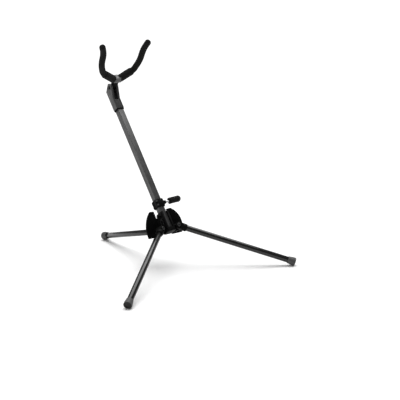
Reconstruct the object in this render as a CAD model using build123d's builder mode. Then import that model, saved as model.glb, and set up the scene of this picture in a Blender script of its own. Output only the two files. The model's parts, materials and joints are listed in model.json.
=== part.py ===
from build123d import *
import os
from math import cos, radians, sin

# Folding saxophone stand: three folding legs on a hub, a leaning square bar, a padded yoke that
# folds at the bar's head, a sliding collar with a padded peg, and two cupped wings at the hub.
# Millimetres. +Z is up, the floor is Z = 0, the stand faces -Y and the bar leans back towards +Y.

# Bar and hub: the bar's own frame has its origin on the bar's axis beside the leg pivots.
HUB_Y = -37.6
BAR_LEAN = 38.1
BAR_ORIGIN = (0, HUB_Y - 9.7, 120.1)
BAR_SIDE = 18.0
BAR_CORNER = 1.2
BAR_WALL = 1.5
BAR_BOTTOM = -12.0
BAR_TOP = 392.0

# Legs
LEG_RADIUS = 8.5
LEG_WALL = 1.2
FRONT_TOE = 51.5
FRONT_SLOPE = 17.9
REAR_SLOPE = 16.1
FRONT_PIVOT = (30.0, -8.0, -12.8)
REAR_PIVOT = (0, 28.7, -7.5)
CAP_RADIUS = 11.5
CAP_NECK_RADIUS = 9.7
CAP_LENGTH = 22.0
CAP_EDGE = 1.6
CAP_RIM = 8.0
CAP_FLAT = 0.4
CAP_FLOOR = 6.0
SOCKET_START = 11.5
SOCKET_END = 23.0
SOCKET_RADIUS = 10.5
EYE_RADIUS = 9.5
EYE_HALF = 6.5

# Pivots and fasteners
BOLT_RADIUS = 3.0
RUNNING_GAP = 0.05
FACE_GAP = 0.1
LUG_START = 7.0
LUG_THICK = 5.0
LUG_RADIUS = 10.0
HEAD_RADIUS = 5.2
HEAD_HEIGHT = 3.2
NUT_FLATS = 10.0
NUT_HEIGHT = 3.6

# Hub bracket, in the bar's frame
HUB_HALF_WIDTH = 13.0
HUB_FRONT = -15.0
HUB_REAR = 13.0
HUB_BOTTOM = -24.0
HUB_TOP = 36.0
HUB_SLOT_TOP_HALF = 6.5
HUB_SLOT_BOTTOM_HALF = 8.0
HUB_SCREW_HEIGHTS = (2.0, 15.0)
HUB_SCREW_Y = -4.5
HUB_SCREW_RADIUS = 2.0

# Wings: the hinge axis is tilted forward of the bar
WING_HINGE = (18.5, 9.0, -5.0)
WING_TILT = 15.0
WING_BARREL = (4.0, 30.0)
WING_BARREL_RADIUS = 3.5
WING_PIN_RADIUS = 1.5
WING_LUG_LENGTH = 5.5
WING_REACH = 42.5
WING_TOP = 52.0
WING_BOTTOM = -21.0
WING_DISH = 110.0
WING_CENTRE = (15.0, 15.0)
WING_PAD = 3.0
WING_SHELL = 2.4
WING_PAD_INSET = 5.2
WING_SHELL_INSET = 3.0

# Collar and peg
COLLAR_HEIGHT = 24.0
COLLAR_MIDDLE = 63.0
COLLAR_HALF = 13.0
COLLAR_GAP = 0.08
PEG_Y = 8.8
PEG_HEIGHT = 67.0
PEG_RISE = 3.0
BOSS_END = 31.0
PEG_RADIUS = 3.5
PEG_FOAM_START = 44.0
PEG_FOAM_END = 84.0
FOAM_THIN_RADIUS = 9.2

# Head housing and its fork
HEAD_BOTTOM = 366.0
HEAD_SHOULDER = 400.0
HEAD_TOP = 427.0
HEAD_HALF_X = 12.25
HEAD_HALF_Y = 10.5
YOKE_PIVOT = (0, -11.3, 431.0)
FORK_RADIUS = 8.5
FORK_NOSES = ((5.0, 6.0), (-4.0, 9.0))
FORK_NOSE_RADIUS = 4.0
FORK_SLOT_HALF = 6.4
FORK_SLOT_FLOOR = 394.0
FORK_SLOT_BACK = -3.2
TRIM_HEIGHT = 4.0

# Yoke, in a frame at its pivot that leans forward
YOKE_LEAN = 25.1
TONGUE_HALF = 6.2
TONGUE_RADIUS = 7.0
BLOCK_SIZE = (23.0, 19.0, 15.0)
BLOCK_CENTRE = (0, -8.0, 35.0)
ARM_Y = -7.4
ARM_PATH = ((0, 27.8), (52.3, 59.3), (64.9, 87.5), (67.2, 127.5), (79.9, 154.1))
ARM_BENDS = (22.0, 80.0, 70.0)
ROD_RADIUS = 4.0
FOAM_TIP_ROUND = 8.0
FOAM_THICK_RADIUS = 11.3
THICK_SLEEVE = (12.5, 54.0)

lean = radians(BAR_LEAN)
BAR = Plane(origin=BAR_ORIGIN, x_dir=(1, 0, 0), z_dir=(0, sin(lean), cos(lean)))
SIDES = {"right": 1, "left": -1}

os.makedirs("parts", exist_ok=True)


def save(piece, name, frame=Plane.XY):
    """Put a piece made in its own frame where it belongs on the stand, and write it."""
    placed = piece.moved(frame.location)
    placed.label = name
    export_step(placed, f"parts/{name}.step")


def leg_direction(side, toe, slope):
    """Unit vector from the pivot to the foot; side is 1 right, -1 left, 0 for the rear leg."""
    level, drop = cos(radians(slope)), sin(radians(slope))
    if side == 0:
        return Vector(0, level, -drop)
    return Vector(side * sin(radians(toe)) * level, -cos(radians(toe)) * level, -drop)


def leg_frame(pivot, direction, side):
    """Frame at a leg's pivot: Z runs down the leg, X is the pivot bolt's axis."""
    fold = direction.cross(BAR.z_dir).normalized()
    bolt_axis = fold * (side or 1)
    return Plane(origin=BAR.from_local_coords(pivot), x_dir=bolt_axis, z_dir=direction)


def leg_length(frame, slope):
    """Pivot to end face, so that the foot cap's lower edge is pressed flat on the floor."""
    level, drop = cos(radians(slope)), sin(radians(slope))
    lowest = (CAP_RADIUS - CAP_EDGE) * level + CAP_EDGE - CAP_FLAT
    return CAP_EDGE + (frame.origin.Z - lowest) / drop


def mirrored(point, side):
    return (point[0] * side, point[1], point[2])


def in_frame(frame, inner):
    """The plane `inner`, given in the coordinates of `frame`, as a plane of the stand."""
    return Plane(frame.location * inner.location)


# ---------------------------------------------------------------- bar and its plug
def make_bar():
    with BuildPart() as bar:
        with BuildSketch(Plane.XY.offset(BAR_BOTTOM)):
            RectangleRounded(BAR_SIDE, BAR_SIDE, BAR_CORNER)
            inner = BAR_SIDE - 2 * BAR_WALL
            Rectangle(inner, inner, mode=Mode.SUBTRACT)
        extrude(amount=BAR_TOP - BAR_BOTTOM)
        for height in HUB_SCREW_HEIGHTS:
            with Locations(Plane.YZ.location * Location((HUB_SCREW_Y, height, 0))):
                Cylinder(HUB_SCREW_RADIUS, BAR_SIDE * 2, mode=Mode.SUBTRACT)
    save(bar.part, "bar_tube", BAR)

    inner = BAR_SIDE - 2 * BAR_WALL - 0.1
    with BuildPart() as plug:
        with BuildSketch(Plane.XY.offset(BAR_TOP)):
            Rectangle(inner, inner)
        extrude(amount=-12)
    save(plug.part, "bar_top_plug", BAR)


# ---------------------------------------------------------------- hub bracket
def front_lug_sketch_plane(side):
    """Plane of a front lug's rear face, in the bar's frame: normal towards the leg."""
    frame = leg_frame(mirrored(FRONT_PIVOT, side), leg_direction(side, FRONT_TOE, FRONT_SLOPE), side)
    to_bar = Plane(BAR.location.inverse() * frame.location)
    up_the_bar = Vector(0, 0, 1)
    back = to_bar.origin - to_bar.x_dir * (LUG_START + LUG_THICK)
    return Plane(origin=back, x_dir=up_the_bar.cross(to_bar.x_dir), z_dir=to_bar.x_dir)


def wing_plane(side):
    """Wing hinge frame in the bar's frame: Z up the hinge, X outwards."""
    tilt = radians(WING_TILT)
    origin = mirrored(WING_HINGE, side)
    return Plane(origin=origin, x_dir=(side, 0, 0), z_dir=(0, -sin(tilt), cos(tilt)))


def make_hub():
    width = 2 * HUB_HALF_WIDTH
    depth = HUB_REAR - HUB_FRONT
    middle_y = (HUB_REAR + HUB_FRONT) / 2
    with BuildPart() as hub:
        with BuildSketch(Plane.XY.offset(HUB_BOTTOM)):
            with Locations((0, middle_y)):
                RectangleRounded(width, depth, 2.5)
        extrude(amount=HUB_TOP - HUB_BOTTOM)
        # front lugs, one plate on each side
        for side in SIDES.values():
            with BuildSketch(front_lug_sketch_plane(side)):
                Circle(LUG_RADIUS)
                with Locations((-side * 11.5, 0)):
                    Rectangle(23, 2 * LUG_RADIUS)
            extrude(amount=LUG_THICK)
        # rear ears
        for side in SIDES.values():
            with BuildSketch(Plane.YZ.offset(side * LUG_START)):
                with Locations((REAR_PIVOT[1], REAR_PIVOT[2])):
                    Circle(LUG_RADIUS)
                with Locations((REAR_PIVOT[1] - 9, REAR_PIVOT[2])):
                    Rectangle(18, 2 * LUG_RADIUS)
            extrude(amount=side * LUG_THICK)
        # wing hinge lugs
        for side in SIDES.values():
            plane = wing_plane(side)
            for start in (WING_BARREL[0] - 0.3 - WING_LUG_LENGTH, WING_BARREL[1] + 0.3):
                with BuildSketch(plane.offset(start)):
                    Circle(WING_BARREL_RADIUS)
                    with Locations((-3.5, 0)):
                        Rectangle(7, 2 * WING_BARREL_RADIUS)
                extrude(amount=WING_LUG_LENGTH)
        # channel for the bar, with a tapering slot at the front
        channel = BAR_SIDE / 2 + RUNNING_GAP
        with BuildSketch(Plane.XY.offset(BAR_BOTTOM)):
            Rectangle(2 * channel, 2 * channel)
        extrude(amount=100, mode=Mode.SUBTRACT)
        with BuildSketch(Plane.XZ):
            Polygon(
                (-HUB_SLOT_BOTTOM_HALF, BAR_BOTTOM),
                (HUB_SLOT_BOTTOM_HALF, BAR_BOTTOM),
                (HUB_SLOT_TOP_HALF, HUB_TOP + 1),
                (-HUB_SLOT_TOP_HALF, HUB_TOP + 1),
                align=None,
            )
        extrude(amount=40, mode=Mode.SUBTRACT)
        # holes
        for side in SIDES.values():
            with BuildSketch(front_lug_sketch_plane(side)):
                Circle(BOLT_RADIUS)
            extrude(amount=LUG_THICK, mode=Mode.SUBTRACT)
            with BuildSketch(wing_plane(side).offset(WING_BARREL[0] - 10)):
                Circle(WING_PIN_RADIUS)
            extrude(amount=50, mode=Mode.SUBTRACT)
        with BuildSketch(Plane.YZ.offset(-30)):
            with Locations((REAR_PIVOT[1], REAR_PIVOT[2])):
                Circle(BOLT_RADIUS)
            for height in HUB_SCREW_HEIGHTS:
                with Locations((HUB_SCREW_Y, height)):
                    Circle(HUB_SCREW_RADIUS)
        extrude(amount=60, mode=Mode.SUBTRACT)
    save(hub.part, "hub_bracket", BAR)


def make_hub_screws():
    with BuildPart() as screws:
        for height in HUB_SCREW_HEIGHTS:
            with BuildSketch(Plane.YZ.offset(-HUB_HALF_WIDTH)):
                with Locations((HUB_SCREW_Y, height)):
                    Circle(HUB_SCREW_RADIUS)
            extrude(amount=2 * HUB_HALF_WIDTH)
            for side in SIDES.values():
                with BuildSketch(Plane.YZ.offset(side * HUB_HALF_WIDTH)):
                    with Locations((HUB_SCREW_Y, height)):
                        Circle(3.4)
                extrude(amount=side * 1.8)
    save(screws.part, "hub_screws", BAR)


def make_wing_pin(name, side):
    with BuildPart() as pin:
        with BuildSketch(Plane.XY.offset(WING_BARREL[0] - WING_LUG_LENGTH)):
            Circle(WING_PIN_RADIUS)
        extrude(amount=WING_BARREL[1] - WING_BARREL[0] + 2 * WING_LUG_LENGTH)
    save(pin.part, f"wing_pin_{name}", in_frame(BAR, wing_plane(side)))


# ---------------------------------------------------------------- pivot bolts
def make_bolt(name, frame, head_face, tip, head_way):
    """A pivot bolt along X: its head sits outside head_face and its shank ends at tip."""
    with BuildPart() as bolt:
        with BuildSketch(Plane.YZ.offset(tip)):
            Circle(BOLT_RADIUS)
        extrude(amount=head_face - tip)
        with BuildSketch(Plane.YZ.offset(head_face)):
            Circle(HEAD_RADIUS)
        extrude(amount=head_way * HEAD_HEIGHT)
        rim = bolt.edges().filter_by(GeomType.CIRCLE).sort_by(Axis.X, reverse=head_way < 0)[-1]
        fillet(rim, 1.2)
        with BuildSketch(Plane.YZ.offset(head_face + head_way * HEAD_HEIGHT)):
            RegularPolygon(2.4, 6)
        extrude(amount=-head_way * 2, mode=Mode.SUBTRACT)
    save(bolt.part, name, frame)


def make_nut(name, frame, near, way):
    with BuildPart() as nut:
        with BuildSketch(Plane.YZ.offset(near)):
            RegularPolygon(NUT_FLATS / 2, 6, major_radius=False)
            Circle(BOLT_RADIUS, mode=Mode.SUBTRACT)
        extrude(amount=way * NUT_HEIGHT)
    save(nut.part, name, frame)


# ---------------------------------------------------------------- legs
def make_leg(name, frame, slope):
    length = leg_length(frame, slope)
    with BuildPart() as knuckle:
        with BuildSketch(Plane.YZ.offset(-EYE_HALF)):
            Circle(EYE_RADIUS)
            with Locations((0, SOCKET_START / 2 + 1)):
                Rectangle(2 * EYE_RADIUS - 1, SOCKET_START + 2)
        extrude(amount=2 * EYE_HALF)
        with BuildSketch(Plane.XY.offset(SOCKET_START)):
            Circle(SOCKET_RADIUS)
        extrude(amount=SOCKET_END - SOCKET_START)
        mouth = knuckle.faces().sort_by(Axis.Z)[-1]
        chamfer(mouth.edges(), 1.2)
        with BuildSketch(Plane.XY.offset(SOCKET_START + 2)):
            Circle(LEG_RADIUS)
        extrude(amount=SOCKET_END, mode=Mode.SUBTRACT)
        with BuildSketch(Plane.YZ.offset(-EYE_HALF)):
            Circle(BOLT_RADIUS + RUNNING_GAP)
        extrude(amount=2 * EYE_HALF, mode=Mode.SUBTRACT)
    save(knuckle.part, f"{name}_knuckle", frame)

    with BuildPart() as tube:
        with BuildSketch(Plane.XY.offset(SOCKET_START + 2)):
            Circle(LEG_RADIUS)
            Circle(LEG_RADIUS - LEG_WALL, mode=Mode.SUBTRACT)
        extrude(amount=length - CAP_FLOOR - SOCKET_START - 2)
    save(tube.part, f"{name}_tube", frame)

    with BuildPart() as cap:
        with BuildSketch(Plane.XZ):
            with BuildLine():
                start = length - CAP_LENGTH
                Polyline(
                    (0, start),
                    (CAP_NECK_RADIUS, start),
                    (CAP_RADIUS, length - CAP_RIM),
                    (CAP_RADIUS, length),
                    (0, length),
                    close=True,
                )
            make_face()
        revolve(axis=Axis.Z)
        fillet(cap.edges().filter_by(GeomType.CIRCLE).sort_by(Axis.Z)[-1], CAP_EDGE)
        fillet(cap.edges().filter_by(GeomType.CIRCLE).sort_by(Axis.Z)[0], 0.6)
        with BuildSketch(Plane.XY.offset(length - CAP_LENGTH)):
            Circle(LEG_RADIUS)
        extrude(amount=CAP_LENGTH - CAP_FLOOR, mode=Mode.SUBTRACT)
        with BuildSketch(Plane.XY.offset(length)):
            Circle(CAP_RADIUS - 3.5)
        extrude(amount=-1.5, mode=Mode.SUBTRACT)
    with BuildPart() as foot:
        add(cap.part.moved(frame.location))
        split(bisect_by=Plane.XY, keep=Keep.TOP)
    save(foot.part, f"{name}_foot_cap")
    return length


def make_legs():
    for name, side in SIDES.items():
        direction = leg_direction(side, FRONT_TOE, FRONT_SLOPE)
        frame = leg_frame(mirrored(FRONT_PIVOT, side), direction, side)
        make_leg(f"front_leg_{name}", frame, FRONT_SLOPE)
        lug_back = -(LUG_START + LUG_THICK)
        make_bolt(f"front_pivot_bolt_{name}", frame, EYE_HALF + FACE_GAP, lug_back - NUT_HEIGHT, 1)
        make_nut(f"front_pivot_nut_{name}", frame, lug_back, -1)
        make_washers(f"front_pivot_washer_{name}", frame, (-1,))
    frame = leg_frame(REAR_PIVOT, leg_direction(0, 0, REAR_SLOPE), 0)
    make_leg("rear_leg", frame, REAR_SLOPE)
    ear = LUG_START + LUG_THICK
    make_bolt("rear_pivot_bolt", frame, -ear, ear + NUT_HEIGHT, -1)
    make_nut("rear_pivot_nut", frame, ear, 1)
    make_washers("rear_pivot_washers", frame, (-1, 1))


def make_washers(name, frame, ways):
    """Thin friction washers between a leg's eye and its lugs."""
    with BuildPart() as washers:
        for way in ways:
            with BuildSketch(Plane.YZ.offset(way * LUG_START)):
                Circle(LUG_RADIUS - 2)
                Circle(BOLT_RADIUS, mode=Mode.SUBTRACT)
            extrude(amount=-way * (LUG_START - EYE_HALF - 0.03))
    save(washers.part, name, frame)


# ---------------------------------------------------------------- wings
def dished(outer_radius, thickness, inner):
    """A half-disc of a big sphere's wall in the hinge frame; its middle is nearest the front."""
    top = (WING_REACH * 0.38, WING_TOP)
    waist = (WING_REACH * 0.87, WING_TOP * 0.52)
    side = (WING_REACH, -4)
    corner = (WING_REACH - 4, WING_BOTTOM)
    centre = (WING_CENTRE[0], WING_DISH - 0.5, WING_CENTRE[1])
    with BuildPart() as slab:
        with BuildSketch(Plane.XZ.offset(20)) as outline:
            with BuildLine():
                Polyline(side, corner, (inner, WING_BOTTOM), (inner, WING_TOP - 1), top)
                ThreePointArc(top, waist, side)
            make_face()
            fillet(outline.vertices().sort_by(Axis.X)[-3:], 4)
        extrude(amount=-60)
        with Locations(centre):
            Sphere(outer_radius, mode=Mode.INTERSECT)
            Sphere(outer_radius - thickness, mode=Mode.SUBTRACT)
    return slab.part


def make_wing(name, side):
    frame = in_frame(BAR, wing_plane(side))
    shell_piece = dished(WING_DISH - WING_PAD, WING_SHELL, WING_SHELL_INSET)
    pad_piece = dished(WING_DISH, WING_PAD, WING_PAD_INSET)
    with BuildPart() as shell:
        add(shell_piece)
        with BuildSketch(Plane.XY.offset(WING_BARREL[0])):
            Circle(WING_BARREL_RADIUS)
            with Locations((2.5, 2.4)):
                Rectangle(5, 4.4)
        extrude(amount=WING_BARREL[1] - WING_BARREL[0])
        with BuildSketch(Plane.XY.offset(WING_BARREL[0])):
            Circle(WING_PIN_RADIUS + RUNNING_GAP)
        extrude(amount=WING_BARREL[1] - WING_BARREL[0], mode=Mode.SUBTRACT)
    with BuildPart() as pad:
        add(pad_piece)
        add(shell.part, mode=Mode.SUBTRACT)
    if side < 0:
        flip = Plane.XZ
        save(mirror(shell.part, about=flip), f"wing_shell_{name}", frame)
        save(mirror(pad.part, about=flip), f"wing_pad_{name}", frame)
    else:
        save(shell.part, f"wing_shell_{name}", frame)
        save(pad.part, f"wing_pad_{name}", frame)


# ---------------------------------------------------------------- collar and peg
def peg_plane():
    rise = radians(PEG_RISE)
    return Plane(origin=(0, PEG_Y, PEG_HEIGHT), x_dir=(0, 1, 0), z_dir=(cos(rise), 0, sin(rise)))


def make_collar():
    hole = BAR_SIDE + 2 * COLLAR_GAP
    with BuildPart() as collar:
        with BuildSketch(Plane.XY.offset(COLLAR_MIDDLE - COLLAR_HEIGHT / 2)):
            RectangleRounded(2 * COLLAR_HALF, 2 * COLLAR_HALF, 4)
        extrude(amount=COLLAR_HEIGHT)
        chamfer(collar.faces().filter_by(Axis.Z).edges(), 1.5)
        with BuildSketch(peg_plane().offset(COLLAR_HALF - 6)):
            Circle(9)
        with BuildSketch(peg_plane().offset(BOSS_END)):
            Circle(5.2)
        loft()
        with BuildSketch(Plane.XY.offset(COLLAR_MIDDLE - COLLAR_HEIGHT)):
            RectangleRounded(hole, hole, BAR_CORNER)
        extrude(amount=2 * COLLAR_HEIGHT, mode=Mode.SUBTRACT)
        with BuildSketch(peg_plane().offset(COLLAR_HALF - 1)):
            Circle(PEG_RADIUS)
        extrude(amount=BOSS_END, mode=Mode.SUBTRACT)
        # the clamp's slit and its screw holes, on the left
        with Locations((-COLLAR_HALF, 0, COLLAR_MIDDLE)):
            Box(10, 1.6, 2 * COLLAR_HEIGHT, mode=Mode.SUBTRACT)
        for offset in (-6, 6):
            with BuildSketch(Plane.XZ.offset(-COLLAR_HALF)):
                with Locations((-COLLAR_HALF + 1.9, COLLAR_MIDDLE + offset)):
                    Circle(1.5)
            extrude(amount=2 * COLLAR_HALF, mode=Mode.SUBTRACT)
    save(collar.part, "peg_collar", BAR)

    with BuildPart() as screws:
        for offset in (-6, 6):
            with BuildSketch(Plane.XZ.offset(-COLLAR_HALF)):
                with Locations((-COLLAR_HALF + 1.9, COLLAR_MIDDLE + offset)):
                    Circle(1.5)
            extrude(amount=2 * COLLAR_HALF)
            with BuildSketch(Plane.XZ.offset(COLLAR_HALF)):
                with Locations((-COLLAR_HALF + 1.9, COLLAR_MIDDLE + offset)):
                    Circle(2.7)
            extrude(amount=2)
    save(screws.part, "collar_clamp_screws", BAR)

    with BuildPart() as rod:
        with BuildSketch(peg_plane().offset(COLLAR_HALF - 1)):
            Circle(PEG_RADIUS)
        extrude(amount=PEG_FOAM_END - 8 - COLLAR_HALF + 1)
    save(rod.part, "peg_rod", BAR)

    with BuildPart() as foam:
        with BuildSketch(peg_plane().offset(PEG_FOAM_START)):
            Circle(FOAM_THIN_RADIUS)
        extrude(amount=PEG_FOAM_END - PEG_FOAM_START)
        tip = foam.faces().sort_by(Axis.X)[-1]
        fillet(tip.edges(), 6)
        with BuildSketch(peg_plane().offset(PEG_FOAM_START)):
            Circle(PEG_RADIUS)
        extrude(amount=PEG_FOAM_END - 8 - PEG_FOAM_START, mode=Mode.SUBTRACT)
    save(foam.part, "peg_foam", BAR)


# ---------------------------------------------------------------- head housing
def along_the_yoke(across, up):
    """(y, z) in the bar's frame of a point given from the yoke's pivot, up the yoke and across it."""
    turn = radians(BAR_LEAN + YOKE_LEAN)
    y = YOKE_PIVOT[1] + across * cos(turn) - up * sin(turn)
    z = YOKE_PIVOT[2] + across * sin(turn) + up * cos(turn)
    return (y, z)


def make_head():
    with BuildPart() as head:
        with BuildSketch(Plane.YZ.offset(-HEAD_HALF_X)):
            with BuildLine():
                Line((-HEAD_HALF_Y, HEAD_SHOULDER), (HEAD_HALF_Y, HEAD_SHOULDER))
                Line((HEAD_HALF_Y, HEAD_SHOULDER), (HEAD_HALF_Y, HEAD_TOP))
                CenterArc((YOKE_PIVOT[1], YOKE_PIVOT[2]), FORK_RADIUS, 0, 360)
                for nose in FORK_NOSES:
                    CenterArc(along_the_yoke(*nose), FORK_NOSE_RADIUS, 0, 360)
            make_hull()
        extrude(amount=2 * HEAD_HALF_X)
        with BuildSketch(Plane.XY.offset(HEAD_BOTTOM)):
            Rectangle(2 * HEAD_HALF_X, 2 * HEAD_HALF_Y)
        extrude(amount=HEAD_SHOULDER - HEAD_BOTTOM)
        uprights = head.edges().filter_by(Axis.Z)
        fillet(uprights, 2)
        slot_middle = (FORK_SLOT_BACK - 40) / 2
        with BuildSketch(Plane.XY.offset(FORK_SLOT_FLOOR)):
            with Locations((0, slot_middle)):
                Rectangle(2 * FORK_SLOT_HALF, FORK_SLOT_BACK + 40)
        extrude(amount=80, mode=Mode.SUBTRACT)
        socket = BAR_SIDE + 0.1
        with BuildSketch(Plane.XY.offset(HEAD_BOTTOM)):
            RectangleRounded(socket, socket, BAR_CORNER)
        extrude(amount=BAR_TOP - HEAD_BOTTOM, mode=Mode.SUBTRACT)
        with BuildSketch(Plane.YZ.offset(-30)):
            with Locations((YOKE_PIVOT[1], YOKE_PIVOT[2])):
                Circle(BOLT_RADIUS)
        extrude(amount=60, mode=Mode.SUBTRACT)
    save(head.part, "head_housing", BAR)

    with BuildPart() as trim:
        with BuildSketch(Plane.XY.offset(HEAD_BOTTOM)):
            RectangleRounded(2 * HEAD_HALF_X - 1.2, 2 * HEAD_HALF_Y - 0.8, 2)
            RectangleRounded(BAR_SIDE + 0.1, BAR_SIDE + 0.1, BAR_CORNER, mode=Mode.SUBTRACT)
        extrude(amount=-TRIM_HEIGHT)
    save(trim.part, "head_trim_ring", BAR)

    pivot = in_frame(BAR, Plane(origin=YOKE_PIVOT))
    make_bolt("yoke_pivot_bolt", pivot, -HEAD_HALF_X, HEAD_HALF_X + NUT_HEIGHT, -1)
    make_nut("yoke_pivot_nut", pivot, HEAD_HALF_X, 1)


# ---------------------------------------------------------------- yoke
def arm_line(side):
    points = [(side * x, ARM_Y, z) for x, z in ARM_PATH]
    return FilletPolyline(*points, radius=list(ARM_BENDS))


def sleeve_plane(side):
    """At the yoke's middle, looking along the first, straight stretch of one arm."""
    run = Vector(side * (ARM_PATH[1][0] - ARM_PATH[0][0]), 0, ARM_PATH[1][1] - ARM_PATH[0][1])
    return Plane(origin=(0, ARM_Y, ARM_PATH[0][1]), x_dir=(0, 1, 0), z_dir=run)


def make_arm(name, side, frame):
    with BuildPart() as rod:
        with BuildLine() as path:
            arm_line(side)
        with BuildSketch(sleeve_plane(side)):
            Circle(ROD_RADIUS)
        sweep(path=path.wires()[0])
        with BuildSketch(Plane.YZ):
            Rectangle(200, 400)
        extrude(amount=-side * 20, mode=Mode.SUBTRACT)
        ends = rod.faces().sort_by(Axis.Z)[-1]
        trim_plane = Plane(ends)
        with BuildSketch(trim_plane.offset(-7)):
            Circle(3 * ROD_RADIUS)
        extrude(amount=20, mode=Mode.SUBTRACT)
    with BuildPart() as thick:
        with BuildSketch(sleeve_plane(side).offset(THICK_SLEEVE[0])):
            Circle(FOAM_THICK_RADIUS)
        extrude(amount=THICK_SLEEVE[1] - THICK_SLEEVE[0])
        fillet(thick.edges().filter_by(GeomType.CIRCLE), 1.5)
        add(rod.part, mode=Mode.SUBTRACT)
    with BuildPart() as thin:
        with BuildLine() as path:
            arm_line(side)
        with BuildSketch(sleeve_plane(side)):
            Circle(FOAM_THIN_RADIUS)
        sweep(path=path.wires()[0])
        fillet(thin.faces().sort_by(Axis.Z)[-1].edges(), FOAM_TIP_ROUND)
        with BuildSketch(sleeve_plane(side).offset(THICK_SLEEVE[1])):
            Rectangle(60, 60)
        extrude(amount=-120, mode=Mode.SUBTRACT)
        add(rod.part, mode=Mode.SUBTRACT)
    save(rod.part, f"yoke_rod_{name}", frame)
    save(thick.part, f"yoke_sleeve_{name}", frame)
    save(thin.part, f"yoke_tip_foam_{name}", frame)
    return rod.part


def make_yoke():
    yoke_lean = radians(YOKE_LEAN)
    origin = BAR.from_local_coords(YOKE_PIVOT)
    frame = Plane(origin=origin, x_dir=(1, 0, 0), z_dir=(0, -sin(yoke_lean), cos(yoke_lean)))
    rods = [make_arm(name, side, frame) for name, side in SIDES.items()]
    block_low = BLOCK_CENTRE[2] - BLOCK_SIZE[2] / 2
    with BuildPart() as tongue:
        with BuildSketch(Plane.YZ.offset(-TONGUE_HALF)):
            with BuildLine():
                CenterArc((0, 0), TONGUE_RADIUS, 0, 360)
                Line((BLOCK_CENTRE[1] - 6.5, block_low), (BLOCK_CENTRE[1] + 6.5, block_low))
            make_hull()
        extrude(amount=2 * TONGUE_HALF)
        with BuildSketch(Plane.YZ.offset(-TONGUE_HALF)):
            Circle(BOLT_RADIUS + RUNNING_GAP)
        extrude(amount=2 * TONGUE_HALF, mode=Mode.SUBTRACT)
        for rod in rods:
            add(rod, mode=Mode.SUBTRACT)
    save(tongue.part, "yoke_tongue", frame)
    with BuildPart() as block:
        with Locations(BLOCK_CENTRE):
            Box(*BLOCK_SIZE)
        fillet(block.edges().filter_by(Axis.Y).group_by(Axis.Z)[-1], 3)
        for rod in rods:
            add(rod, mode=Mode.SUBTRACT)
        for side in SIDES.values():
            with BuildSketch(sleeve_plane(side).offset(THICK_SLEEVE[0])):
                Circle(FOAM_THICK_RADIUS + 1)
            extrude(amount=20, mode=Mode.SUBTRACT)
    save(block.part, "yoke_block", frame)


make_bar()
make_hub()
make_hub_screws()
for side_name, side_sign in SIDES.items():
    make_wing_pin(side_name, side_sign)
    make_wing(side_name, side_sign)
make_legs()
make_collar()
make_head()
make_yoke()
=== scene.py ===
import json
import math

import bmesh
import bpy
import numpy as np
from mathutils import Matrix, Vector, noise


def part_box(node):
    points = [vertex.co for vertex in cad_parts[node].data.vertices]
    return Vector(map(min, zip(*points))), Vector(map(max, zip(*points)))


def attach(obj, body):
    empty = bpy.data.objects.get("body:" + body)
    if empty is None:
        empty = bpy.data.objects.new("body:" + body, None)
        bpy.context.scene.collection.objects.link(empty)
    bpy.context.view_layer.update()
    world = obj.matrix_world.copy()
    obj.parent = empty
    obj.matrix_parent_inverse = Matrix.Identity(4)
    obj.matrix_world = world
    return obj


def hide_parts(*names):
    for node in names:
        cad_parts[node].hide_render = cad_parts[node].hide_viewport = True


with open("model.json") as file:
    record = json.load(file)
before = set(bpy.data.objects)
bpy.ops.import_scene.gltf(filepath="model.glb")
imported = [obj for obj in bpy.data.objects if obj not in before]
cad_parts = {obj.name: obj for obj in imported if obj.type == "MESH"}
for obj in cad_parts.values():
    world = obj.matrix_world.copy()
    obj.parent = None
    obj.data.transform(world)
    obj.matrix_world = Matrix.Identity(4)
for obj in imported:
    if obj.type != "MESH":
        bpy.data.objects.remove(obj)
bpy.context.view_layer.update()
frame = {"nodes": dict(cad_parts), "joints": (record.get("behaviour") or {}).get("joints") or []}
NODES = frame["nodes"]
JOINTS = {joint["name"]: joint for joint in frame["joints"]}
SIDES = {"right": 1, "left": -1}

# Driving sizes in metres, as the frame has them
YOKE_LEAN = math.radians(25.1)
ARM_Y = -0.0074
ARM_PATH = ((0, 0.0278), (0.0523, 0.0593), (0.0649, 0.0875), (0.0672, 0.1275), (0.0799, 0.1541))
ARM_BENDS = (0.022, 0.080, 0.070)
THICK_SLEEVE = (0.0125, 0.054)
THICK_RADIUS = 0.0113
THIN_RADIUS = 0.0092
TIP_ROUND = 0.0085
ROD_RADIUS = 0.004
PEG_RISE = math.radians(3.0)
PEG_FOAM = (0.044, 0.084)
PEG_RADIUS = 0.0035
WING_REACH = 0.0425
WING_TOP = 0.052
WING_BOTTOM = -0.021
WING_INNER = 0.0052
WING_CORNER = 0.004
DISH_CENTRE = (0.015, 0.1095, 0.015)
DISH_FRONT = 0.110
DISH_BACK = 0.107


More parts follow.
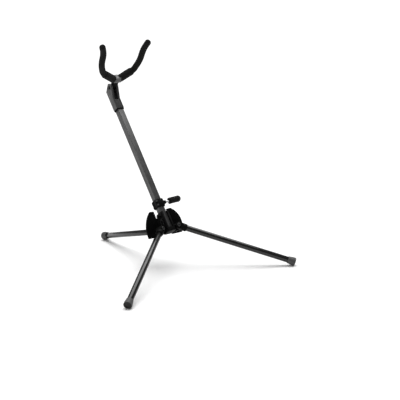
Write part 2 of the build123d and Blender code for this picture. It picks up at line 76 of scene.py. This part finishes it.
# ---------------------------------------------------------------- materials
class Shader:
    """A node material in the making: sockets are set by name."""

    def __init__(self, name, **principled):
        self.material = bpy.data.materials.new(name)
        self.material.use_nodes = True
        self.nodes = self.material.node_tree.nodes
        self.links = self.material.node_tree.links
        self.bsdf = self.nodes["Principled BSDF"]
        self.coords = self.nodes.new("ShaderNodeTexCoord").outputs["Object"]
        for socket, value in principled.items():
            self.bsdf.inputs[socket.replace("_", " ")].default_value = value

    def node(self, kind, inputs=None, **settings):
        made = self.nodes.new("ShaderNode" + kind)
        for key, value in settings.items():
            setattr(made, key, value)
        for key, value in (inputs or {}).items():
            if isinstance(value, bpy.types.NodeSocket):
                self.links.new(value, made.inputs[key])
            else:
                made.inputs[key].default_value = value
        return made

    def stretched(self, scale, turn=(0, 0, 0)):
        """Object coordinates turned and scaled, for a grain that runs one way."""
        turned = self.node("Mapping", {"Vector": self.coords, "Rotation": turn})
        return self.node("Mapping", {"Vector": turned.outputs[0], "Scale": scale}).outputs[0]

    def noise(self, scale, detail=4.0, rough=0.55, vector=None):
        inputs = {"Scale": scale, "Detail": detail, "Roughness": rough}
        inputs["Vector"] = vector or self.coords
        return self.node("TexNoise", inputs).outputs["Fac"]

    def ramp(self, source, low, high, start=0.35, end=0.65):
        """Map source between start and end to the range low to high."""
        inputs = {"Value": source, "From Min": start, "From Max": end}
        inputs.update({"To Min": low, "To Max": high})
        return self.node("MapRange", inputs).outputs["Result"]

    def mix(self, factor, dark, light):
        made = self.node("Mix", data_type="RGBA")
        self.links.new(factor, made.inputs["Factor"])
        for key, value in (("A", dark), ("B", light)):
            socket = [s for s in made.inputs if s.name == key and s.type == "RGBA"][0]
            if isinstance(value, bpy.types.NodeSocket):
                self.links.new(value, socket)
            else:
                socket.default_value = (*value, 1)
        return [s for s in made.outputs if s.type == "RGBA"][0]

    def bump(self, *layers):
        """Stack height layers, each (source, depth in metres)."""
        normal = None
        for source, depth in layers:
            inputs = {"Height": source, "Distance": depth, "Strength": 1.0}
            if normal:
                inputs["Normal"] = normal
            normal = self.node("Bump", inputs).outputs["Normal"]
        self.set("Normal", normal)

    def set(self, socket, source):
        self.links.new(source, self.bsdf.inputs[socket])


def grey(value, warm=0.0):
    """A linear grey, a little warmer where asked."""
    return (value * (1 + warm), value, value * (1 - warm))


def bar_turn():
    """Euler angles that bring the bar's length onto Z."""
    along = Vector(JOINTS["collar_slide"]["axis"])
    return along.rotation_difference(Vector((0, 0, 1))).to_euler()


def satin_paint(name, dark, light, roughness, metallic):
    """Powder-coated metal: fine pebble, faint drawn grain along the bar and soft handling marks."""
    s = Shader(name, Metallic=metallic)
    grain = s.noise(1.0, 3, vector=s.stretched((900, 900, 14), bar_turn()))
    cloud = s.noise(38, 5)
    pebble = s.noise(2600, 2)
    scuff = s.noise(140, 8, 0.72)
    base = s.mix(s.ramp(cloud, 0, 1), dark, light)
    base = s.mix(s.ramp(grain, 0.0, 0.35), base, tuple(c * 1.35 for c in light))
    s.set("Base Color", base)
    s.set("Roughness", s.ramp(scuff, roughness - 0.06, roughness + 0.09))
    s.bump((pebble, 0.00002), (grain, 0.000012))
    return s.material


def gloss_paint(name, dark, light, roughness):
    """Gloss black paint on tube: orange peel, rub marks and a little dust."""
    s = Shader(name, Coat_Weight=0.15, Coat_Roughness=0.14, Specular_IOR_Level=0.4)
    peel = s.noise(420, 2)
    rub = s.noise(60, 7, 0.68)
    dust = s.noise(900, 4, 0.7)
    base = s.mix(s.ramp(rub, 0, 1), dark, light)
    s.set("Base Color", s.mix(s.ramp(dust, 0, 0.2, 0.6, 0.8), base, grey(0.06)))
    s.set("Roughness", s.ramp(rub, roughness - 0.05, roughness + 0.1))
    s.bump((peel, 0.00003))
    return s.material


def moulded(name, dark, light, roughness, grain_depth=0.00004, specular=0.1):
    """Matt moulded nylon: spark-eroded grain and faint flow clouds."""
    s = Shader(name, Specular_IOR_Level=specular)
    erosion = s.noise(1500, 3, 0.6)
    flow = s.noise(70, 5)
    base = s.mix(s.ramp(flow, 0, 1), dark, light)
    s.set("Base Color", base)
    s.set("Roughness", s.ramp(erosion, roughness - 0.08, roughness + 0.08))
    s.bump((erosion, grain_depth), (flow, 0.00003))
    return s.material


def rubber_cap(name, axis):
    """Grey-black rubber foot: matt sides, painted shade that makes the end face near-black, and
    scuffs near the floor.
    """
    s = Shader(name, Specular_IOR_Level=0.45)
    normal = s.nodes.new("ShaderNodeTexCoord").outputs["Normal"]
    # Painted shade mask: how squarely a face points along the leg, so the end face can be darkened
    # as if shaded
    end_face_shade = s.node("VectorMath", {0: normal, 1: axis}, operation="DOT_PRODUCT").outputs["Value"]
    scuff = s.noise(260, 8, 0.7)
    mottle = s.noise(55, 4)
    sides = s.mix(s.ramp(mottle, 0, 1), grey(0.05), grey(0.07))
    sides = s.mix(s.ramp(scuff, 0, 0.5, 0.55, 0.75), sides, grey(0.12))
    # Painted shade: the end face is mixed towards near-black grey(0.005)
    s.set("Base Color", s.mix(s.ramp(end_face_shade, 0, 1, 0.6, 0.9), sides, grey(0.005)))
    s.set("Roughness", s.ramp(scuff, 0.5, 0.72))
    s.bump((s.noise(1300, 3), 0.00005))
    return s.material


def foam(name):
    """Black closed-cell foam: a fine cellular skin, dull, with small dents."""
    s = Shader(name, Sheen_Weight=0.03, Sheen_Roughness=0.6, Specular_IOR_Level=0.12)
    cells = s.node("TexVoronoi", {"Vector": s.coords, "Scale": 1400.0}).outputs["Distance"]
    dents = s.noise(260, 5, 0.6)
    cloud = s.noise(45, 4)
    base = s.mix(s.ramp(cloud, 0, 1), grey(0.0045, 0.03), grey(0.008, 0.02))
    s.set("Base Color", s.mix(s.ramp(dents, 0, 0.4, 0.5, 0.8), base, grey(0.014)))
    s.set("Roughness", s.ramp(dents, 0.78, 0.95))
    s.bump((cells, 0.00012), (dents, 0.00025))
    return s.material


def velvet(name):
    """Black flocked velvet: brushed pile with a soft sheen and lighter crushed patches."""
    s = Shader(name, Sheen_Weight=0.05, Sheen_Roughness=0.4, Specular_IOR_Level=0.02)
    pile = s.noise(3800, 2, 0.6)
    brush = s.noise(1.0, 4, vector=s.stretched((90, 90, 30), bar_turn()))
    crush = s.noise(130, 6, 0.65)
    base = s.mix(s.ramp(brush, 0, 1), grey(0.0016), grey(0.0034))
    s.set("Base Color", s.mix(s.ramp(crush, 0, 0.5, 0.55, 0.8), base, grey(0.007)))
    s.set("Roughness", s.ramp(pile, 0.9, 1.0, 0.3, 0.7))
    s.bump((pile, 0.00015), (brush, 0.0002), (crush, 0.00015))
    return s.material


def steel(name, tone, roughness, metallic=1.0):
    """Plated or blackened steel: turning marks and faint stains."""
    s = Shader(name, Metallic=metallic)
    stain = s.noise(300, 6, 0.7)
    marks = s.noise(1.0, 2, vector=s.stretched((2500, 2500, 300)))
    s.set("Base Color", s.mix(s.ramp(stain, 0, 1), grey(tone * 0.75), grey(tone)))
    s.set("Roughness", s.ramp(stain, roughness - 0.08, roughness + 0.14))
    s.bump((marks, 0.00002))
    return s.material


def dress_frame():
    """Every CAD node that stays gets its material."""
    paints = {
        "bar": satin_paint("bar_satin", grey(0.064), grey(0.086), 0.40, 0.5),
        "head": satin_paint("head_satin", grey(0.055), grey(0.075), 0.42, 0.45),
        "block": moulded("block_grey", grey(0.05), grey(0.07), 0.33, specular=0.35),
        "leg": gloss_paint("leg_gloss", grey(0.003), grey(0.006), 0.17),
        "nylon": moulded("nylon_black", grey(0.002), grey(0.0045), 0.55, specular=0.05),
        "plated": steel("steel_plated", 0.62, 0.28),
        "blackened": steel("steel_black", 0.05, 0.4, 0.7),
    }
    words = (
        ("bar_tube", "bar"),
        ("head_housing", "head"),
        ("yoke_block", "block"),
        ("tongue", "nylon"),
        ("leg_", "leg"),
        ("rod", "plated"),
        ("pin_", "plated"),
        ("bolt", "blackened"),
        ("nut", "blackened"),
        ("washer", "plated"),
        ("screws", "blackened"),
    )
    for name, node in NODES.items():
        kind = next((paint for word, paint in words if word in name), "nylon")
        if "knuckle" in name:
            kind = "nylon"
        paint = paints[kind]
        if "foot_cap" in name:
            joint = JOINTS[name.replace("_foot_cap", "_fold")]
            low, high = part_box(name)
            axis = ((low + high) / 2 - Vector(joint["pos_m"])).normalized()
            paint = rubber_cap("rubber_" + name, axis)
        node.data.materials.clear()
        node.data.materials.append(paint)
        weld_and_round(node)


WELD_REACH = 0.000005
BROKEN_EDGE = 0.0003
SHARP_ANGLE = math.radians(40)


def weld_and_round(node):
    """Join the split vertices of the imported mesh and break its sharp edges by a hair."""
    weld = node.modifiers.new("weld", "WELD")
    weld.merge_threshold = WELD_REACH
    bevel = node.modifiers.new("broken edges", "BEVEL")
    bevel.width = BROKEN_EDGE
    bevel.segments = 2
    bevel.limit_method = "ANGLE"
    bevel.angle_limit = SHARP_ANGLE
    bevel.harden_normals = True
    node.data.polygons.foreach_set("use_smooth", [True] * len(node.data.polygons))


# ---------------------------------------------------------------- foam tubes
RIB_PITCH = 0.0031
RIB_DEPTH = 0.00012
LUMP_DEPTH = 0.0003
PINCH_DEPTH = 0.00014
SKIN_BACK = 0.00025
PATH_STEP = 0.0008
TUBE_SIDES = 64
BORE_DEPTH = 0.006
CUT_LIP = 0.0012


def rounded_path(points, radii, step=PATH_STEP):
    """Points every `step` along straight runs joined by tangent arcs."""
    points = [Vector(p) for p in points]
    samples = []
    start = points[0]
    for before, corner, after, radius in zip(points, points[1:], points[2:], radii):
        into, out = (corner - before).normalized(), (after - corner).normalized()
        turn = into.angle(out)
        setback = radius * math.tan(turn / 2)
        entry = corner - into * setback
        samples += evenly(start, entry, step)
        centre_way = (out - into * into.dot(out)).normalized()
        centre = entry + centre_way * radius
        count = max(2, int(radius * turn / step))
        for i in range(count):
            angle = turn * i / count
            way = into * math.sin(angle) - centre_way * math.cos(angle)
            samples.append(centre + radius * way)
        start = corner + out * setback
    return samples + evenly(start, points[-1], step) + [points[-1]]


def evenly(start, end, step):
    """Points about `step` apart from start, without the end."""
    count = max(1, int((end - start).length / step))
    return [start.lerp(end, i / count) for i in range(count)]


def squeeze(spot, seed, along_way):
    """How far the foam's skin stands out at a spot: soft lumps, small pinches and fine ribs."""
    lump = noise.noise(Vector((spot.x * 55, spot.y * 55 + seed, spot.z * 55)))
    pinch = noise.noise(Vector((spot.x * 240, seed * 2, spot.z * 240)))
    rib = math.sin(2 * math.pi * along_way / RIB_PITCH)
    return lump * LUMP_DEPTH + pinch * PINCH_DEPTH + rib * RIB_DEPTH - SKIN_BACK


def foam_tube(name, path, radius, hole, place, closed_end, seed, roundness=TIP_ROUND):
    """A foam sleeve round `path`: a rounded far end, a soft cut near end with a bore, and a
    hand-squeezed surface. `place` takes the path's frame to the stand's."""
    lengths = [0.0]
    for a, b in zip(path, path[1:]):
        lengths.append(lengths[-1] + (b - a).length)
    total = lengths[-1]
    mesh = bmesh.new()
    rings = []
    side_way = Vector((0, 1, 0))

    def ring(centre, along, size, flat=False, along_way=0.0):
        across = side_way.cross(along).normalized()
        other = along.cross(across).normalized()
        made = []
        for k in range(TUBE_SIDES):
            angle = 2 * math.pi * k / TUBE_SIDES
            way = across * math.cos(angle) + other * math.sin(angle)
            spot = centre + way * size
            if not flat:
                spot = spot + way * squeeze(spot, seed, along_way)
            made.append(mesh.verts.new(place @ spot))
        rings.append(made)

    first = path[1] - path[0]
    ring(path[0] + first.normalized() * BORE_DEPTH, first, hole, True)
    ring(path[0], first, hole, True)
    for i, spot in enumerate(path):
        along = path[min(i + 1, len(path) - 1)] - path[max(i - 1, 0)]
        size = radius
        near = lengths[i]
        far = total - lengths[i]
        if near < CUT_LIP:
            size -= CUT_LIP - math.sqrt(CUT_LIP**2 - (CUT_LIP - near) ** 2)
        end = roundness if closed_end else CUT_LIP
        if far < end:
            size -= end - math.sqrt(max(end**2 - (end - far) ** 2, 0))
        ring(spot, along.normalized(), size, along_way=near)
    last = path[-1] - path[-2]
    if closed_end:
        for part in (0.75, 0.5, 0.25):
            ring(path[-1], last, (radius - roundness) * part, True)
        tip = mesh.verts.new(place @ path[-1])
    else:
        ring(path[-1], last, hole, True)
        ring(path[-1] - last.normalized() * BORE_DEPTH, last, hole, True)
    for lower, upper in zip(rings, rings[1:]):
        join_rings(mesh, lower, upper)
    if closed_end:
        for k in range(TUBE_SIDES):
            mesh.faces.new((rings[-1][k], rings[-1][(k + 1) % TUBE_SIDES], tip))
        mesh.faces.new(list(reversed(rings[0])))
    else:
        join_rings(mesh, rings[-1], rings[0])
    return finished(name, mesh)


def join_rings(mesh, lower, upper):
    """A band of faces between two closed rings of as many vertices."""
    count = len(lower)
    for k in range(count):
        nxt = (k + 1) % count
        mesh.faces.new((lower[k], lower[nxt], upper[nxt], upper[k]))


def finished(name, mesh):
    """A smooth-shaded object from a bmesh, linked into the scene."""
    bmesh.ops.recalc_face_normals(mesh, faces=mesh.faces)
    data = bpy.data.meshes.new(name)
    mesh.to_mesh(data)
    mesh.free()
    data.polygons.foreach_set("use_smooth", [True] * len(data.polygons))
    piece = bpy.data.objects.new(name, data)
    bpy.context.scene.collection.objects.link(piece)
    return piece


def yoke_place():
    """From the yoke's leaning frame at its pivot to the stand's."""
    pivot = Vector(JOINTS["yoke_fold"]["pos_m"])
    return Matrix.Translation(pivot) @ Matrix.Rotation(YOKE_LEAN, 4, "X")


def make_yoke_foams(skin):
    """Both arms' thick inner sleeves and thinner outer foams with rounded tips."""
    place = yoke_place()
    for seed, (name, side) in enumerate(SIDES.items()):
        points = [(side * x, ARM_Y, z) for x, z in ARM_PATH]
        start, corner = Vector(points[0]), Vector(points[1])
        run = (corner - start).normalized()
        sleeve = evenly(start + run * THICK_SLEEVE[0], start + run * THICK_SLEEVE[1], PATH_STEP)
        sleeve.append(start + run * THICK_SLEEVE[1])
        thick = foam_tube(
            f"thick_sleeve_{name}", sleeve, THICK_RADIUS, ROD_RADIUS, place, False, 3.1 + seed
        )
        tip_points = [start + run * THICK_SLEEVE[1]] + points[1:]
        thin = foam_tube(
            f"tip_foam_{name}",
            rounded_path(tip_points, ARM_BENDS),
            THIN_RADIUS,
            ROD_RADIUS,
            place,
            True,
            7.7 + seed,
        )
        for piece, node in ((thick, "yoke_sleeve_"), (thin, "yoke_tip_foam_")):
            piece.data.materials.append(skin)
            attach(piece, "yoke")
            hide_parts(node + name)


def make_peg_foam(skin):
    """The sleeve on the collar's peg."""
    low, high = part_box("peg_rod")
    up_bar = Vector(JOINTS["collar_slide"]["axis"])
    along = Vector((math.cos(PEG_RISE), 0, 0)) + up_bar * math.sin(PEG_RISE)
    rod_middle = (low + high) / 2
    reach = PEG_FOAM[0] - rod_middle.x / along.x
    start = rod_middle + along * reach
    end = start + along * (PEG_FOAM[1] - PEG_FOAM[0])
    path = evenly(start, end, PATH_STEP) + [end]
    piece = foam_tube("peg_sleeve", path, THIN_RADIUS, PEG_RADIUS, Matrix.Identity(4), True, 12.5)
    piece.data.materials.append(skin)
    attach(piece, "peg_collar_body")
    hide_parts("peg_foam")


# ---------------------------------------------------------------- wing pads
def wing_outline(steps=8):
    """The pad's outline in the hinge frame (out, up), with its corners rounded."""
    side = Vector((WING_REACH, -0.004))
    corner = Vector((WING_REACH - 0.004, WING_BOTTOM))
    foot = Vector((WING_INNER, WING_BOTTOM))
    head = Vector((WING_INNER, WING_TOP - 0.001))
    top = Vector((WING_REACH * 0.38, WING_TOP))
    waist = Vector((WING_REACH * 0.87, WING_TOP * 0.52))
    arc = arc_through(top, waist, side, 26)
    corners = [head, foot, corner, side] + arc[-2:0:-1] + [top]
    outline = []
    count = len(corners)
    for i, spot in enumerate(corners):
        before, after = corners[i - 1], corners[(i + 1) % count]
        into, out = (spot - before), (after - spot)
        turn = into.angle(out)
        if turn < math.radians(15):
            outline.append(spot)
            continue
        reach = min(WING_CORNER * math.tan(turn / 2), into.length / 2, out.length / 2)
        first, last = spot - into.normalized() * reach, spot + out.normalized() * reach
        for k in range(steps + 1):
            t = k / steps
            outline.append(first * (1 - t) ** 2 + spot * 2 * t * (1 - t) + last * t**2)
    return outline


def arc_through(a, b, c, count):
    """Points along the circle through three points, from a to c."""
    d = 2 * (a.x * (b.y - c.y) + b.x * (c.y - a.y) + c.x * (a.y - b.y))
    ux = (a.dot(a) * (b.y - c.y) + b.dot(b) * (c.y - a.y) + c.dot(c) * (a.y - b.y)) / d
    uy = (a.dot(a) * (c.x - b.x) + b.dot(b) * (a.x - c.x) + c.dot(c) * (b.x - a.x)) / d
    centre = Vector((ux, uy))
    start = math.atan2(*(a - centre).yx)
    end = math.atan2(*(c - centre).yx)
    radius = (a - centre).length
    if end > start:
        end -= 2 * math.pi
    sweep = [start + (end - start) * i / count for i in range(count + 1)]
    return [centre + radius * Vector((math.cos(t), math.sin(t))) for t in sweep]


def dish(radius, out, up):
    """Depth of the wing's sphere of this radius at a spot in the hinge frame."""
    reach = (out - DISH_CENTRE[0]) ** 2 + (up - DISH_CENTRE[2]) ** 2
    return DISH_CENTRE[1] - math.sqrt(radius**2 - reach)


def resampled(points, count):
    """The closed line through points as `count` evenly spaced ones."""
    closed = points + [points[0]]
    lengths = np.cumsum([0] + [(b - a).length for a, b in zip(closed, closed[1:])])
    wanted = np.linspace(0, lengths[-1], count, endpoint=False)
    xs = np.interp(wanted, lengths, [p.x for p in closed])
    ys = np.interp(wanted, lengths, [p.y for p in closed])
    return [Vector(pair) for pair in zip(xs, ys)]


PAD_ROLL = 0.0024
PAD_HEM = 0.0045
PAD_SPOKES = 160
PAD_RINGS = 30
SHELL_GAP = 0.00005
HEM_DEPTH = 0.00055
HEM_WIDTH = 0.0007
CROWN = 0.0006
CROWN_REACH = 0.012


def make_wing_pad(name, side, skin):
    """A thin velvet cushion on the wing's dished shell: rolled edges, a sewn hem, a soft crown."""
    joint = JOINTS[f"wing_{name}_fold"]
    hinge = Vector(joint["pos_m"])
    up_way = Vector(joint["axis"]) * side
    out_way = Vector((side, 0, 0))
    rear_way = up_way.cross(Vector((1, 0, 0)))
    outline = resampled(wing_outline(), PAD_SPOKES)
    middle = sum(outline, Vector((0, 0))) / len(outline)
    mesh = bmesh.new()

    def spot(flat, depth):
        return mesh.verts.new(hinge + out_way * flat.x + up_way * flat.y + rear_way * depth)

    def layer(front):
        rows = []
        for i in range(PAD_RINGS):
            share = 1 - (i / PAD_RINGS) ** 1.6
            row = []
            for edge in outline:
                flat = middle.lerp(edge, share)
                inner = (edge - flat).length * 0.9
                back = dish(DISH_BACK, flat.x, flat.y) - SHELL_GAP
                if not front:
                    row.append(spot(flat, back))
                    continue
                full = back - dish(DISH_FRONT, flat.x, flat.y)
                near = min(inner / PAD_ROLL, 1.0)
                thick = full * (0.35 + 0.65 * math.sqrt(1 - (1 - near) ** 2))
                thick -= HEM_DEPTH * math.exp(-(((inner - PAD_HEM) / HEM_WIDTH) ** 2))
                crown = CROWN * (1 - math.exp(-((inner / CROWN_REACH) ** 2)))
                thick += crown * (inner > PAD_HEM)
                lump = noise.noise(Vector((flat.x * 95 + side * 7, flat.y * 95, 2.5)))
                wrinkle = noise.noise(Vector((flat.x * 310, flat.y * 120 + side * 3, 9.5)))
                thick += (lump * 0.00035 + wrinkle * 0.00012) * near
                row.append(spot(flat, back - thick))
            rows.append(row)
        return rows

    front, back = layer(True), layer(False)
    for rows in (front, back):
        for lower, upper in zip(rows, rows[1:]):
            join_rings(mesh, lower, upper)
        mesh.faces.new(rows[-1])
    for k in range(PAD_SPOKES):
        nxt = (k + 1) % PAD_SPOKES
        mesh.faces.new((front[0][k], back[0][k], back[0][nxt], front[0][nxt]))
    pad = finished(f"velvet_pad_{name}", mesh)
    pad.data.materials.append(skin)
    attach(pad, f"wing_{name}")
    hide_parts(f"wing_pad_{name}")


# ---------------------------------------------------------------- camera, light and floor
AIM = (0.0973, -0.0712, 0.1791)
VIEW_AZIMUTH = math.radians(-37.86)
VIEW_ELEVATION = math.radians(15.59)
VIEW_DISTANCE = 3.494
LENS = 113.0


FLOOR_HALF = 12
WORLD_STRENGTH = 0.22
SUN_PLACE = (0.45, 0.35, 1.6)
SUN_ANGLE = math.radians(60)
SUN_ENERGY = 3.3
LEFT_LIGHT = {"place": (-2.2, 0.4, 1.3), "size": 1.2, "power": 12}


def make_camera():
    """The camera, aimed at AIM from VIEW_DISTANCE away."""
    data = bpy.data.cameras.new("camera")
    data.lens = LENS
    data.sensor_width = 36
    camera = bpy.data.objects.new("camera", data)
    back = Vector(
        (
            math.sin(VIEW_AZIMUTH) * math.cos(VIEW_ELEVATION),
            -math.cos(VIEW_AZIMUTH) * math.cos(VIEW_ELEVATION),
            math.sin(VIEW_ELEVATION),
        )
    )
    camera.location = Vector(AIM) + back * VIEW_DISTANCE
    camera.rotation_euler = (-back).to_track_quat("-Z", "Y").to_euler()
    bpy.context.scene.collection.objects.link(camera)
    bpy.context.scene.camera = camera


def area_light(name, place, size, power, aim=(0, 0, 0.25)):
    data = bpy.data.lights.new(name, "AREA")
    data.shape = "DISK"
    data.size = size
    data.energy = power
    light = bpy.data.objects.new(name, data)
    light.location = place
    light.rotation_euler = (Vector(aim) - Vector(place)).to_track_quat("-Z", "Y").to_euler()
    bpy.context.scene.collection.objects.link(light)


def make_studio():
    """A white floor, a dim even world, a soft sun and one large light from the left."""
    mesh = bmesh.new()
    bmesh.ops.create_grid(mesh, x_segments=4, y_segments=4, size=FLOOR_HALF)
    floor = finished("floor", mesh)
    s = Shader("floor_white", Specular_IOR_Level=0.0, Roughness=0.9)
    s.set("Base Color", s.mix(s.noise(3, 2), grey(0.93), grey(0.95)))
    floor.data.materials.append(s.material)
    world = bpy.data.worlds.new("studio")
    world.use_nodes = True
    world.node_tree.nodes["Background"].inputs["Color"].default_value = (1, 1, 1, 1)
    world.node_tree.nodes["Background"].inputs["Strength"].default_value = WORLD_STRENGTH
    bpy.context.scene.world = world
    sun = bpy.data.lights.new("overhead", "SUN")
    sun.angle = SUN_ANGLE
    sun.energy = SUN_ENERGY
    lamp = bpy.data.objects.new("overhead", sun)
    lamp.rotation_euler = (-Vector(SUN_PLACE)).to_track_quat("-Z", "Y").to_euler()
    bpy.context.scene.collection.objects.link(lamp)
    area_light("left", **LEFT_LIGHT)
    bpy.context.scene.view_settings.view_transform = "Standard"


make_camera()
make_studio()
dress_frame()
foam_skin = foam("foam_black")
make_yoke_foams(foam_skin)
make_peg_foam(foam_skin)
velvet_skin = velvet("velvet_black")
for side_name, side_sign in SIDES.items():
    make_wing_pad(side_name, side_sign, velvet_skin)
